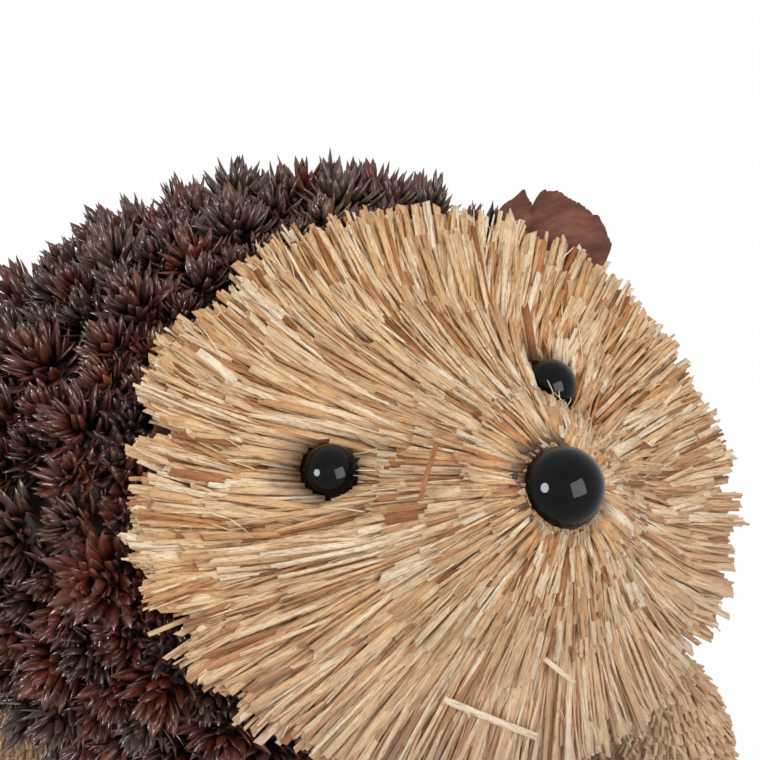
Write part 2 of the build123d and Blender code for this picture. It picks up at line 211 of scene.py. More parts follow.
# Small cones low on the sides: how far they look sideways and down, and how much longer they are
SKIRT_SIDE = 0.35
SKIRT_FALLS = (-0.95, -0.4)
SKIRT_GROWTH = 1.38

# Feet: domes of straw, and a sleeve of straw up each leg
FOOT_R = 19.5 * MM
FOOT_STEP = 1.6 * MM
FOOT_PITCH = 1.3 * MM
FOOT_FALLS = (7 * MM, 14 * MM)
SOLE_ROOM = 0.5 * MM
CROWN_ROOM = 1 * MM
SHORTEST_FOOT_STRAW = 4 * MM
SLEEVE_R = 8 * MM
SLEEVE_STRAWS = 110
# Each pair of feet: the left sole and hip, the height of the dome and the length of the sleeve along the leg
FEET = {"front": ((56, -74, 0), (44, -52, 52), 42, 47), "rear": ((50, 52, 0), (42, 44, 58), 34, 36)}

# Camera and studio
VIEW_AZIMUTH = math.radians(-40)
VIEW_ELEVATION = math.radians(27)
VIEW_DISTANCE = 1100 * MM
VIEW_SIDE = 43.06 * MM
VIEW_RISE = 25.41 * MM
LENS = 221.45
FLOOR_SIZE = 12
FLOOR_PAINT = (0.86, 0.86, 0.86, 1)
FLOOR_GLOW = 0.95
SURROUND_LIGHT = 0.46


def srgb(red, green, blue):
    """A colour given as 0 to 255, as the linear values that a shader takes."""
    values = []
    for part in (red, green, blue):
        share = part / 255
        values.append(share / 12.92 if share <= 0.04045 else ((share + 0.055) / 1.055) ** 2.4)
    return (*values, 1)


WHITE = srgb(255, 255, 255)


# Materials

def new_material(name):
    """A material, its node tree and its Principled shader."""
    material = bpy.data.materials.new(name)
    material.use_nodes = True
    tree = material.node_tree
    return material, tree, tree.nodes["Principled BSDF"]


def add_node(tree, kind, inputs=None, **settings):
    """A node with its settings, and its inputs linked or set."""
    node = tree.nodes.new(kind)
    for key, value in settings.items():
        setattr(node, key, value)
    for key, value in (inputs or {}).items():
        if isinstance(value, bpy.types.NodeSocket):
            tree.links.new(value, node.inputs[key])
        else:
            node.inputs[key].default_value = value
    return node


def ramp(tree, factor, stops):
    """A colour ramp through (place, colour) stops."""
    node = add_node(tree, "ShaderNodeValToRGB", {"Fac": factor})
    elements = node.color_ramp.elements
    while len(elements) < len(stops):
        elements.new(0.5)
    for element, (place, colour) in zip(elements, stops):
        element.position = place
        element.color = colour
    return node.outputs["Color"]


def times(tree, first, second, share):
    """One colour multiplied by another, by a fixed share."""
    inputs = {"Factor": share, "A": first, "B": second}
    return mixed(tree, inputs, "MULTIPLY")


def towards(tree, first, second, share):
    """One colour mixed towards another, by a linked share."""
    inputs = {"Factor": share, "A": first, "B": second}
    return mixed(tree, inputs, "MIX")


def mixed(tree, inputs, blend):
    """A Mix node for colours, whose colour sockets are its seventh and eighth."""
    numbered = {"Factor": inputs["Factor"], 6: inputs["A"], 7: inputs["B"]}
    return add_node(tree, "ShaderNodeMix", numbered, data_type="RGBA", blend_type=blend).outputs[2]


def ranged(tree, value, low, high, new_low, new_high):
    """A value taken from one range to another, and held within it."""
    inputs = {"Value": value, "From Min": low, "From Max": high, "To Min": new_low, "To Max": new_high}
    return add_node(tree, "ShaderNodeMapRange", inputs).outputs["Result"]


def speckle(tree, place, scale, detail, roughness=0.5):
    """Noise over a piece, as a value."""
    inputs = {"Vector": place, "Scale": scale, "Detail": detail, "Roughness": roughness}
    return add_node(tree, "ShaderNodeTexNoise", inputs).outputs["Fac"]


def own_place(tree):
    """The place on the piece itself."""
    return add_node(tree, "ShaderNodeTexCoord").outputs["Object"]


def stretched_place(tree, scale, rotation=(0, 0, 0)):
    """The place on the piece, turned and then stretched differently along each axis."""
    inputs = {"Vector": own_place(tree), "Rotation": rotation, "Scale": scale}
    return add_node(tree, "ShaderNodeMapping", inputs).outputs["Vector"]


def mark(tree, name, output="Fac"):
    """A mark that each copy carries, such as its tone."""
    return add_node(tree, "ShaderNodeAttribute", attribute_name=name).outputs[output]


def bumped(tree, shader, height, strength, distance):
    node = add_node(tree, "ShaderNodeBump", {"Height": height, "Strength": strength, "Distance": distance})
    tree.links.new(node.outputs["Normal"], shader.inputs["Normal"])


def straw_material():
    """Split straw: cream to orange brown, with fibres along it, roots darkened partly by stain and partly as
    painted shade, and duller and pinker low on the face, partly as painted shade beneath the snout.
    """
    material, tree, shader = new_material("split_straw")
    fibre = speckle(tree, mark(tree, "fibre", "Vector"), 4.6, 3.0, 0.6)
    fleck = speckle(tree, mark(tree, "fibre", "Vector"), 0.9, 2.0)
    colour = ramp(tree, mark(tree, "tone"), [
        (0.0, srgb(148, 94, 58)), (0.2, srgb(200, 144, 96)), (0.45, srgb(225, 186, 143)),
        (0.72, srgb(241, 212, 174)), (1.0, srgb(250, 236, 212))])
    lines = ramp(tree, fibre, [
        (0.34, srgb(156, 122, 92)), (0.5, srgb(255, 251, 243)), (0.74, srgb(236, 218, 194))])
    colour = times(tree, colour, lines, 0.85)
    stain = ramp(tree, fleck, [(0.28, srgb(165, 120, 82)), (0.42, WHITE)])
    colour = times(tree, colour, stain, 0.6)
    # Roots darker: partly stain, partly painted shade where the roots lie under the slivers above them.
    root_stain_and_shade = ramp(tree, mark(tree, "run"), [(0.0, srgb(84, 58, 40)), (0.5, WHITE)])
    colour = times(tree, colour, root_stain_and_shade, 0.9)
    # Lower on the face, by height, the straw is mixed towards a dull pink: partly the paler pinkish straw
    # under the chin, partly painted shade beneath the snout.
    height = add_node(tree, "ShaderNodeSeparateXYZ", {"Vector": own_place(tree)}).outputs["Z"]
    chin_tint_and_shade = ranged(tree, height, 0.05, 0.1, 0.4, 0.0)
    colour = towards(tree, colour, srgb(212, 184, 160), chin_tint_and_shade)
    tree.links.new(colour, shader.inputs["Base Color"])
    tree.links.new(ranged(tree, fibre, 0.2, 0.8, 0.42, 0.68), shader.inputs["Roughness"])
    shader.inputs["Specular IOR Level"].default_value = 0.15
    bumped(tree, shader, fibre, 0.45, 0.0003)
    return material


def cone_material():
    """Varnished scales: dark brown to burgundy, greyer on some cones, darker at their roots as painted shade,
    and greyish at their tips, partly as painted sheen.
    """
    material, tree, shader = new_material("varnished_scale")
    mottle = speckle(tree, own_place(tree), 420.0, 5.0, 0.7)
    colour = ramp(tree, mark(tree, "tone"), [
        (0.0, srgb(56, 28, 20)), (0.3, srgb(96, 44, 30)), (0.58, srgb(132, 52, 34)),
        (0.82, srgb(114, 76, 56)), (0.97, srgb(164, 98, 44))])
    greyer = ramp(tree, mark(tree, "tone"), [
        (0.0, srgb(46, 33, 30)), (0.45, srgb(82, 66, 62)), (0.8, srgb(108, 94, 78)),
        (1.0, srgb(134, 116, 92))])
    colour = towards(tree, colour, greyer, mark(tree, "cast"))
    shade = ramp(tree, mottle, [(0.25, srgb(120, 112, 108)), (0.5, srgb(235, 228, 222)), (0.8, WHITE)])
    colour = times(tree, colour, shade, 0.8)
    # Scale tips mixed towards greyish brown: partly their own paler colour, partly painted sheen.
    tips = ranged(tree, mark(tree, "run"), 0.45, 1.0, 0.0, 0.5)
    colour = towards(tree, colour, srgb(108, 74, 62), tips)
    # Scale roots darkened: painted shade deep in the cone between the scales.
    painted_depth_shade = ramp(tree, mark(tree, "run"), [(0.0, srgb(110, 100, 95)), (0.4, WHITE)])
    colour = times(tree, colour, painted_depth_shade, 0.85)
    tree.links.new(colour, shader.inputs["Base Color"])
    tree.links.new(ranged(tree, mottle, 0.2, 0.8, 0.3, 0.6), shader.inputs["Roughness"])
    shader.inputs["Specular IOR Level"].default_value = 0.25
    shader.inputs["Coat Weight"].default_value = 0.3
    shader.inputs["Coat Roughness"].default_value = 0.1
    bumped(tree, shader, mottle, 0.5, 0.0004)
    return material


def bark_material():
    """Matt reddish brown bark with grain lines and darker blotches."""
    material, tree, shader = new_material("torn_bark")
    grain = speckle(tree, stretched_place(tree, (60.0, 420.0, 60.0), (0.3, -0.7, 0.6)), 1.0, 6.0, 0.65)
    blotch = speckle(tree, own_place(tree), 130.0, 4.0)
    colour = ramp(tree, grain, [(0.25, srgb(64, 33, 25)), (0.5, srgb(101, 58, 44)), (0.8, srgb(138, 88, 70))])
    shade = ramp(tree, blotch, [(0.3, srgb(180, 165, 160)), (0.6, WHITE)])
    tree.links.new(times(tree, colour, shade, 0.8), shader.inputs["Base Color"])
    shader.inputs["Roughness"].default_value = 0.75
    shader.inputs["Specular IOR Level"].default_value = 0.25
    bumped(tree, shader, grain, 0.6, 0.0006)
    return material


def bead_material():
    """Polished black, with a faint haze of dust in its gloss."""
    material, tree, shader = new_material("polished_bead")
    haze = speckle(tree, own_place(tree), 260.0, 6.0)
    colour = ramp(tree, haze, [(0.35, (0.0012, 0.0012, 0.0013, 1)), (0.75, (0.0045, 0.0043, 0.0045, 1))])
    tree.links.new(colour, shader.inputs["Base Color"])
    tree.links.new(ranged(tree, haze, 0.3, 0.8, 0.05, 0.1), shader.inputs["Roughness"])
    shader.inputs["Specular IOR Level"].default_value = 0.13
    return material


def foam_material():
    """Foam painted matt brown, with a coarse cell texture."""
    material, tree, shader = new_material("painted_foam")
    inputs = {"Vector": own_place(tree), "Scale": 320.0}
    cells = add_node(tree, "ShaderNodeTexVoronoi", inputs).outputs["Distance"]
    colour = ramp(tree, cells, [(0.0, srgb(58, 40, 32)), (0.7, srgb(36, 24, 20))])
    tree.links.new(colour, shader.inputs["Base Color"])
    shader.inputs["Roughness"].default_value = 0.85
    bumped(tree, shader, cells, 0.4, 0.0008)
    return material


def dowel_material():
    """Plain wood with long grain."""
    material, tree, shader = new_material("dowel_wood")
    grain = speckle(tree, stretched_place(tree, (600.0, 600.0, 40.0)), 1.0, 4.0)
    colour = ramp(tree, grain, [(0.3, srgb(112, 78, 50)), (0.7, srgb(160, 122, 82))])
    tree.links.new(colour, shader.inputs["Base Color"])
    shader.inputs["Roughness"].default_value = 0.7
    bumped(tree, shader, grain, 0.3, 0.0003)
    return material


STRAW = straw_material()
SCALE = cone_material()
BARK = bark_material()
BEAD = bead_material()
FOAM = foam_material()
DOWEL = dowel_material()


# Blanks and copies

def take_blank():
    """The corners and faces of the shape just modelled, which is then put away."""
    blank = bpy.context.object
    corners = np.array([tuple(v.co) for v in blank.data.vertices])
    faces = [tuple(p.vertices) for p in blank.data.polygons]
    mesh = blank.data
    bpy.data.objects.remove(blank)
    bpy.data.meshes.remove(mesh)
    return corners, faces


def cut_across(places):
    """New rings of edges across the selected blank, at these places along it."""
    for place in places:
        bpy.ops.mesh.select_all(action="SELECT")
        bpy.ops.mesh.bisect(plane_co=(place, 0, 0), plane_no=(1, 0, 0))


def straw_blank():
    """A flat sliver, one unit long, wide and thick, with a joint in its middle where it can bow."""
    bpy.ops.object.select_all(action="DESELECT")
    bpy.ops.mesh.primitive_cube_add(size=1, location=(0.5, 0, 0))
    bpy.ops.object.transform_apply(location=True)
    bpy.ops.object.mode_set(mode="EDIT")
    cut_across([0.5])
    bpy.ops.object.mode_set(mode="OBJECT")
    return take_blank()


def scale_blank():
    """A pointed scale with a keel, one unit long and wide, lying along X."""
    bpy.ops.object.select_all(action="DESELECT")
    bpy.ops.mesh.primitive_cylinder_add(
        vertices=4, radius=0.5, depth=1, rotation=(0, math.pi / 2, 0), location=(0.5, 0, 0))
    bpy.ops.object.transform_apply(location=True, rotation=True)
    bpy.ops.object.mode_set(mode="EDIT")
    cut_across(SCALE_PLACES[1:3])
    bpy.ops.object.mode_set(mode="OBJECT")
    corners, faces = take_blank()
    along = corners[:, 0]
    corners[:, 1] *= np.interp(along, SCALE_PLACES, SCALE_BREADTHS)
    corners[:, 2] *= np.interp(along, SCALE_PLACES, SCALE_DEPTHS)
    return corners, faces


STRAW_CORNERS, STRAW_FACES = straw_blank()
SCALE_CORNERS, SCALE_FACES = scale_blank()


def copies(name, points, faces, marks):
    """One piece made of many copies of a blank: points is copies by corners by three."""
    count, size = points.shape[:2]
    mesh = bpy.data.meshes.new(name)
    mesh.vertices.add(count * size)
    mesh.vertices.foreach_set("co", points.astype(np.float32).ravel())
    loops = (np.concatenate(faces)[None, :] + np.arange(count)[:, None] * size).ravel()
    mesh.loops.add(len(loops))
    mesh.loops.foreach_set("vertex_index", loops.astype(np.int32))
    sizes = np.tile([len(face) for face in faces], count)
    mesh.polygons.add(len(sizes))
    mesh.polygons.foreach_set("loop_start", (np.cumsum(sizes) - sizes).astype(np.int32))
    mesh.update(calc_edges=True)
    mesh.validate()
    for label, values in marks.items():
        if values.ndim == 3:
            layer = mesh.attributes.new(label, "FLOAT_VECTOR", "POINT")
            layer.data.foreach_set("vector", values.astype(np.float32).ravel())
        else:
            layer = mesh.attributes.new(label, "FLOAT", "POINT")
            layer.data.foreach_set("value", values.astype(np.float32).ravel())
    piece = bpy.data.objects.new(name, mesh)
    bpy.context.scene.collection.objects.link(piece)
    return piece


def settle(piece, material, slot, *nodes):
    """A finished piece: its material, the body it rides on and the solids it stands for. Its slot is not
    used.
    """
    piece.data.materials.clear()
    piece.data.materials.append(material)
    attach(piece, "root")
    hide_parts(*nodes)


class Sheaf:
    """Slivers of straw, laid one by one and then made into one piece."""

    def __init__(self):
        self.rows = []

    def lay(self, start, end, normal, width, thick, tone, bow=0.3 * MM, roll=0.0, taper=1.0, slant=0.0,
            root_shade_and_stain_skip=0.0):
        run = end - start
        side = run.cross(normal).normalized()
        up = side.cross(run).normalized()
        turned = side * math.cos(roll) + up * math.sin(roll)
        lift = turned.cross(run).normalized()
        shape = (width, thick, bow, taper, slant, tone, root_shade_and_stain_skip, chance.random())
        self.rows.append((*start, *run, *turned, *lift, *shape))

    def piece(self, name):
        rows = np.array(self.rows)
        start, run, side, up = (rows[:, None, 3 * i : 3 * i + 3] for i in range(4))
        width, thick, bow, taper, slant, tone, root_shade_and_stain_skip, seed = (rows[:, None, 12 + i] for i in range(8))
        x, y, z = (STRAW_CORNERS[None, :, i] for i in range(3))
        length = np.linalg.norm(run, axis=2)
        along = x + slant * y * x / length
        across = y * width * (1 - (1 - taper) * x)
        arch = 4 * x * (1 - x) * bow + z * thick
        points = start + run * along[..., None] + side * across[..., None] + up * arch[..., None]
        fibre = np.stack([y * width / MM + 41 * seed, x * length / MM * 0.07, 17 * seed + 0 * x], axis=2)
        # The run mark darkens roots with stain and painted shade; slivers lying on top start it part way, so
        # their roots get less.
        marks = {"tone": tone + 0 * x, "run": root_shade_and_stain_skip + (1 - root_shade_and_stain_skip) * x, "fibre": fibre}
        return copies(name, points, STRAW_FACES, marks)


# Face and ruff

def head_point(side, rise, back):
    """A point given by its place to the left of, above and behind the nose."""
    return NOSE + LEFT * side + CROWN * rise - AHEAD * back


EYES = {name: head_point(*(v * MM for v in place)) for name, place in EYE_PLACES.items()}


def degrees_off(angle, place):
    """How far a direction round the axis lies from a place given in degrees."""
    return abs(math.degrees(math.remainder(angle - math.radians(place), 2 * math.pi)))


def ruff_radius(angle):
    """The distance from the head's axis to the ruff's uneven oval edge, in a direction round the axis."""
    c, s = math.cos(angle), math.sin(angle)
    square = (c / RUFF_HALF_W) ** 2 + (s / RUFF_HALF_H) ** 2
    linear = s * RUFF_RISE / RUFF_HALF_H**2
    rest = (RUFF_RISE / RUFF_HALF_H) ** 2 - 1
    oval = (linear + math.sqrt(linear**2 - square * rest)) / square
    swell = 0
    for at, half, rise in RUFF_SWELLS:
        swell += rise * MM * math.exp(-((degrees_off(angle, at) / half) ** 2))
    return oval - RUFF_TRIM + RUFF_SHIFT * c - RUFF_DROP * min(s, 0) + swell


def gap_depth(angle):
    """How deep a gap cuts into the ruff's edge, in a direction round the axis."""
    return max(depth * MM * (1 - degrees_off(angle, at) / half) for at, half, depth in RUFF_GAPS)


def face_depth(radius):
    return float(np.interp(radius / MM, FACE_RADII, FACE_DEPTHS)) * MM


def face_point(angle, radius, lift):
    """A point on the face, raised off it by a lift, and the direction that the face looks in there."""
    out = LEFT * math.cos(angle) + CROWN * math.sin(angle)
    slope = (face_depth(radius + SLOPE_REACH) - face_depth(radius - SLOPE_REACH)) / (2 * SLOPE_REACH)
    normal = (out * slope + AHEAD).normalized()
    return NOSE + out * radius - AHEAD * face_depth(radius) + normal * lift, normal


def tip_radius(angle, nominal):
    """A ring's distance from the axis: round near the nose, and following the oval edge further out."""
    if nominal <= EVEN_REACH:
        return nominal
    share = (nominal - EVEN_REACH) / (RUFF_HALF_W - EVEN_REACH)
    return EVEN_REACH + share * (ruff_radius(angle) - EVEN_REACH)


def clear_of_eyes(start, end, normal):
    """The parts of a sliver that lie outside the eyes and aren't too short, as pairs of ends."""
    run = end - start
    for eye in EYES.values():
        offset = start - eye
        a, b, c = run.dot(run), 2 * offset.dot(run), offset.dot(offset) - (EYE_R + EYE_ROOM) ** 2
        root = b * b - 4 * a * c
        if root > 0:
            enter, leave = ((-b - math.sqrt(root)) / (2 * a), (-b + math.sqrt(root)) / (2 * a))
            if enter < 1 and leave > 0:
                past = start + run * leave + normal * (0.5 * ROOT_DEPTH)
                parts = ((start, start + run * enter, enter), (past, end, 1 - leave))
                return [(first, last) for first, last, share in parts if share * run.length > SHORTEST_SLIVER]
    return [(start, end)]


def lift_by_eyes(point, lift):
    """A tip's lift off the face, held low beside the eyes so that their whole balls show."""
    room = min((point - eye).length for eye in EYES.values()) - EYE_R
    return min(lift, EYE_DELL_SLOPE * room - EYE_DELL_DEPTH) if room < EYE_DELL else lift


def sink_by_eyes(start, end):
    """How far a sliver that passes close to an eye is pressed into the face."""
    run = end - start
    rooms = []
    for eye in EYES.values():
        share = min(max((eye - start).dot(run) / run.dot(run), 0), 1)
        rooms.append((start + run * share - eye).length - EYE_R)
    return EYE_PRESS * max(0, 1 - max(min(rooms), 0) / EYE_PRESS_REACH)


def cut_sliver(tone):
    """One sliver's width and tone: most are narrow, the few broad strips are pale, and some are orange."""
    kind = chance.random()
    shade = tone + chance.gauss(0, SLIVER_TONE)
    if kind < NARROW_SHARE:
        width = chance.uniform(*NARROW_CUT)
    elif kind < 1 - BROAD_SHARE:
        width = chance.uniform(*PLAIN_CUT)
        shade -= ORANGE_STEP if chance.random() < ORANGE_SHARE else 0
    else:
        width = chance.uniform(*BROAD_CUT)
        shade = max(shade, BROAD_LEAST_TONE)
    return width * MM, min(max(shade, LEAST_TONE), 1)


def course_of(nominal):
    """The course of the solids that tips at this distance from the axis belong to."""
    return next(k for k, tip in enumerate(COURSE_TIPS) if nominal / MM <= tip)


def lay_tuft(sheaf, angle, span, nominal, count, lift, lengths):
    """A bundle of near-parallel slivers that share their lean, their cut length and their tone."""
    yaw = chance.gauss(0, TUFT_YAW)
    rise = lift + chance.gauss(0, TUFT_RISE)
    stretch = chance.gauss(0, TUFT_REACH)
    if nominal >= RUFF_HALF_W:
        stretch = PROUD_REACH if chance.random() < PROUD_SHARE else -abs(chance.gauss(0, SHORT_REACH))
    tone = chance.gauss(FACE_TONE, TUFT_TONE)
    for i in range(count):
        at = angle + span * (i + chance.random()) / count
        edge = tip_radius(at, nominal) + stretch + chance.gauss(0, SLIVER_REACH)
        length = chance.uniform(*lengths)
        turn = yaw + chance.gauss(0, SLIVER_YAW)
        root = max(edge - 0.9 * length, COLLAR_R)
        start, _ = face_point(at, root, -COLLAR_DEPTH if root < COLLAR_END else -ROOT_DEPTH)
        tip_angle = at + turn * length / edge
        if gap_depth(tip_angle) > 0:
            edge = min(edge, ruff_radius(tip_angle) - gap_depth(tip_angle))
        tip_lift = lift_by_eyes(face_point(tip_angle, edge, 0)[0], rise + chance.gauss(0, SLIVER_RISE))
        end, normal = face_point(tip_angle, edge, tip_lift)
        pressed = normal * sink_by_eyes(start, end)
        for ends in clear_of_eyes(start - pressed, end - pressed, normal):
            width, shade = cut_sliver(tone)
            sheaf.lay(
                *ends, normal, width, chance.uniform(*SLIVER_THICK), shade, bow=chance.gauss(0.2, 0.3) * MM,
                roll=chance.gauss(0, 0.26), taper=chance.uniform(*SLIVER_TAPER),
                slant=chance.gauss(0, 0.5) * width)


def lay_ring(sheaves, nominal, lift, lengths, layers=1.0):
    """One ring of tufts round the face, with their tips at a distance from the axis."""
    angle = chance.uniform(-math.pi, math.pi)
    last = angle + 2 * math.pi
    while angle < last:
        width = chance.uniform(*TUFT_WIDTHS)
        span = width / tip_radius(angle, nominal)
        squeeze = ruff_radius(angle) / RUFF_HALF_W if nominal > EVEN_REACH else 1
        count = max(2, int(width / STRAW_PITCH * layers * squeeze))
        lay_tuft(sheaves[course_of(nominal)], angle, span, nominal, count, lift, lengths)
        angle += span * chance.uniform(*(TUFT_STEPS if nominal < RUFF_HALF_W else RUFF_STEPS))


def lay_long_slivers(sheaves):
    """Long slivers that run from the nose over the muzzle, most of them below it."""
    for _ in range(LONG_SLIVERS):
        angle = chance.triangular(-math.pi * 1.2, math.pi * 0.8, LONG_MOST_AT)
        reach = chance.uniform(*LONG_REACHES)
        start, _ = face_point(angle, COLLAR_R + chance.uniform(0, 2) * MM, -0.6 * COLLAR_DEPTH)
        tip_angle = angle + chance.gauss(0, 0.05)
        tip_lift = lift_by_eyes(face_point(tip_angle, reach, 0)[0], chance.uniform(0.6, 2) * MM)
        end, normal = face_point(tip_angle, reach, tip_lift)
        width, shade = cut_sliver(LONG_TONE)
        pressed = normal * sink_by_eyes(start, end)
        for ends in clear_of_eyes(start - pressed, end - pressed, normal):
            sheaves[course_of(reach)].lay(
                *ends, normal, 0.85 * width, chance.uniform(*SLIVER_THICK), shade,
                bow=chance.gauss(0.3, 0.3) * MM, roll=chance.gauss(0, 0.3), root_shade_and_stain_skip=0.35)


def lay_flyaways(sheaves):
    """Fine pale fibres that stand off the face here and there."""
    for _ in range(FLYAWAYS):
        angle = chance.uniform(-math.pi, math.pi)
        radius = chance.uniform(0.2, 0.92) * ruff_radius(angle)
        reach = min(chance.uniform(*FLYAWAY_LENGTHS), ruff_radius(angle) - radius + 2 * MM)
        start, _ = face_point(angle, radius, 0.2 * MM)
        tip_angle = angle + chance.gauss(0, 0.25) * reach / radius
        end, normal = face_point(tip_angle, radius + reach, chance.uniform(*FLYAWAY_LIFTS))
        for ends in clear_of_eyes(start, end, normal):
            sheaves[course_of(radius)].lay(
                *ends, normal, chance.uniform(*FLYAWAY_WIDTHS), 0.2 * MM,
                chance.uniform(0.75, 1), bow=chance.gauss(0.4, 0.8) * MM, root_shade_and_stain_skip=0.5)


def lay_loose_bits(sheaves):
    """The few sticks and strips that lie across the rest."""
    for first, last, width, tone in LOOSE_BITS.values():
        start, _ = face_point(math.radians(first[0]), first[1] * MM, LOOSE_LIFT)
        end, normal = face_point(math.radians(last[0]), last[1] * MM, LOOSE_LIFT)
        sheaf = sheaves[course_of(first[1] * MM)]
        sheaf.lay(start, end, normal, width * MM, LOOSE_THICK, tone, bow=0.8 * MM, root_shade_and_stain_skip=0.6)


def straw_face():
    """The muzzle, cheeks and ruff, as one piece for each course of the solids."""
    sheaves = [Sheaf() for _ in COURSE_TIPS]
    nominal = FIRST_TIP
    while nominal < RUFF_HALF_W - TIP_STEP / 2:
        lengths = MUZZLE_LENGTHS if nominal < MUZZLE_END else CHEEK_LENGTHS
        lay_ring(sheaves, nominal, RING_LIFT, lengths)
        nominal += TIP_STEP
    for lift in RUFF_LIFTS:
        lay_ring(sheaves, RUFF_HALF_W, lift, RUFF_LENGTHS, RUFF_DENSITY)
    lay_long_slivers(sheaves)
    lay_flyaways(sheaves)
    lay_loose_bits(sheaves)
    for k, sheaf in enumerate(sheaves):
        piece = sheaf.piece(f"straw_ring_{k + 1}")
        settle(piece, STRAW, "straw", f"straw_course_{k + 1}")


# Beads

def bead(name, node, centre, radius, shank):
    """A ball with its shank drawn out of the back, into the head."""
    bpy.ops.object.select_all(action="DESELECT")
    bpy.ops.mesh.primitive_uv_sphere_add(segments=64, ring_count=32, radius=radius)
    bpy.ops.object.mode_set(mode="EDIT")
    bpy.ops.mesh.select_all(action="DESELECT")
    bpy.ops.object.mode_set(mode="OBJECT")
    ball = bpy.context.object
    for polygon in ball.data.polygons:
        ring = math.hypot(polygon.center.x, polygon.center.y)
        polygon.select = polygon.center.z < 0 and ring < SHANK_R
    bpy.ops.object.mode_set(mode="EDIT")
    bpy.ops.mesh.extrude_region_move(TRANSFORM_OT_translate={"value": (0, 0, radius - shank)})
    bpy.ops.object.mode_set(mode="OBJECT")
    bpy.ops.object.shade_smooth()
    ball.data.transform(Matrix.Translation(centre) @ AHEAD.to_track_quat("Z", "Y").to_matrix().to_4x4())
    ball.name = name
    settle(ball, BEAD, "bead", node)


# Ears

def ear_edge(across):
    """How far the torn edge falls short of the ear's full reach, at a place across it."""
    at = across / MM
    fall = float(np.interp(at, *zip(*EAR_TEAR)))
    middle, half, deep = EAR_CRACK
    fall += deep * max(0, 1 - abs(at - middle) / half)
    fall += 0.7 * noise.noise(Vector((at * 0.4, 3.1, 0))) + 0.5 * noise.noise(Vector((at * 1.3, 7.7, 0)))
    return fall * MM


def ear(name, turn, reach, hand):
    """A torn flap of bark, a little curled, that widens from its root."""
    bpy.ops.object.select_all(action="DESELECT")
    bpy.ops.mesh.primitive_grid_add(x_subdivisions=48, y_subdivisions=122, size=2)
    flap = bpy.context.object
    out = LEFT * math.cos(turn) + CROWN * math.sin(turn)
    back = AHEAD * -1
    side = back.cross(out) * hand
    root = head_point(0, 0, EAR_BACK + EAR_THICK / 2)
    for vertex in flap.data.vertices:
        along, across = (vertex.co.x + 1) / 2, vertex.co.y
        distance = EAR_ROOT + along * (reach - EAR_ROOT - ear_edge(across * EAR_HALF_W))
        half = float(np.interp(distance / MM, *zip(*EAR_SIDES))) * MM
        half += EAR_RIPPLE * noise.noise(Vector((along * 14, across * 0.5, 5)))
        curl = EAR_CURL * max(along - EAR_CURL_START, 0) ** 2 + EAR_CUP * across**2 * along
        ripple = EAR_RIPPLE * noise.noise(Vector((along * 5, across * 4, 9))) * along
        vertex.co = root + out * distance + side * (half * across) + back * (curl + ripple)
    for kind, settings in (("SOLIDIFY", {"thickness": EAR_THICK, "offset": 0}),
                           ("BEVEL", {"width": EAR_ROUND, "segments": 2, "limit_method": "ANGLE"})):
        modifier = flap.modifiers.new(kind.lower(), kind)
        for key, value in settings.items():
            setattr(modifier, key, value)
        bpy.ops.object.modifier_apply(modifier=modifier.name)
    bpy.ops.object.mode_set(mode="EDIT")
    bpy.ops.mesh.select_all(action="SELECT")
    bpy.ops.mesh.normals_make_consistent(inside=False)
    bpy.ops.object.mode_set(mode="OBJECT")
    bpy.ops.object.shade_smooth_by_angle(angle=math.radians(35))
    flap.name = "bark_" + name
    settle(flap, BARK, "bark", name)


# Seed cones

def body_point(normal):
    """The place on the body's core that looks in a direction: on its crown, its side or its belly."""
    up = Vector((0, 0, math.copysign(1, normal.z)))
    if normal.dot(up) * math.hypot(SIDE_RING_R, CAP_DROP) > CAP_DROP:
        return BODY + normal * CAP_R - up * CAP_DROP
    out = Vector((normal.x, normal.y, 0)).normalized()
    return BODY + out * SIDE_RING_R + normal * BODY_SIDE_R


def body_normal(point):
    """The direction that the body's core looks in, under a point."""
    offset = point - BODY
    up = Vector((0, 0, math.copysign(1, offset.z)))
    from_cap = (offset + up * CAP_DROP).normalized()
    if from_cap.dot(up) * math.hypot(SIDE_RING_R, CAP_DROP) > CAP_DROP:
        return from_cap
    out = Vector((offset.x, offset.y, 0)).normalized()
    return (offset - out * SIDE_RING_R).normalized()


def solid_middles(node):
    """The middle of each separate solid in a node."""
    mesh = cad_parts[node].data
    spots = [tuple(round(c, 5) for c in v.co) for v in mesh.vertices]
    owner = {spot: spot for spot in spots}

    def find(spot):
        while owner[spot] != spot:
            owner[spot] = owner[owner[spot]]
            spot = owner[spot]
        return spot

    for polygon in mesh.polygons:
        first, *others = (find(spots[i]) for i in polygon.vertices)
        for other in others:
            owner[find(other)] = find(first)
    groups = {}
    for spot in owner:
        groups.setdefault(find(spot), []).append(spot)
    return [Vector(np.mean(group, axis=0)) for group in groups.values()]


def scales_of_cone(size, height):
    """The scales of one cone as places, from the splayed outer ring to the upright heart."""
    places = []
    count = int(CONE_SCALES * size**1.2)
    turn = chance.uniform(0, 2 * math.pi)
    for i in range(count):
        inward = (i / (count - 1)) ** 1.15
        turn += GOLDEN_TURN
        azimuth = turn + chance.gauss(0, 0.25)
        tilt = math.radians(82 - 70 * inward) + chance.gauss(0, 0.18)
        ring = (6.6 * (1 - inward) + 0.5) * size * MM
        level = (0.8 + 9.4 * inward + chance.gauss(0, 0.5)) * height * MM
        length = chance.uniform(6.2, 10.2) * (1 - 0.2 * inward) * MM * (0.5 * size + 0.5 * height)
        width = chance.uniform(2.3, 3.9) * MM * size
        places.append((azimuth, tilt, ring, level, length, width))
    return places


